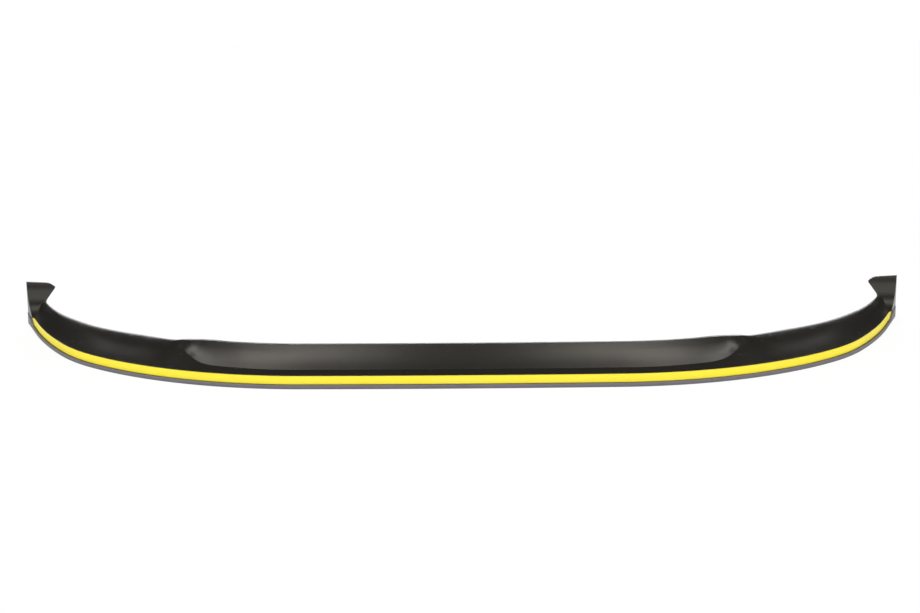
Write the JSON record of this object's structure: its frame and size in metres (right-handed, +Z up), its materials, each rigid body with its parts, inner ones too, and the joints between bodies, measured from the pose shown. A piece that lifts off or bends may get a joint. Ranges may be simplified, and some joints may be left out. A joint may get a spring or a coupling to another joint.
{
  "type": "front splitter lip",
  "caption": "One-piece moulded front bumper splitter lip with a raised centre ramp, kick-up ends and a coloured trim stripe along its leading edge.",
  "frame": {"origin": "centre of the part's footprint, on the plane of its flat underside", "axes": "+X across the car to the lip's left-hand end as the car's driver sees it, +Y from the nose towards the car, +Z up"},
  "size_m": [1.6892, 0.484, 0.0838],
  "materials": {
    "black_plastic": "satin black moulded skin",
    "yellow_trim": "glossy yellow adhesive trim"
  },
  "bodies": {
    "root": {"lip_moulding": "black_plastic", "yellow_stripe": "yellow_trim"}
  },
  "joints": []
}
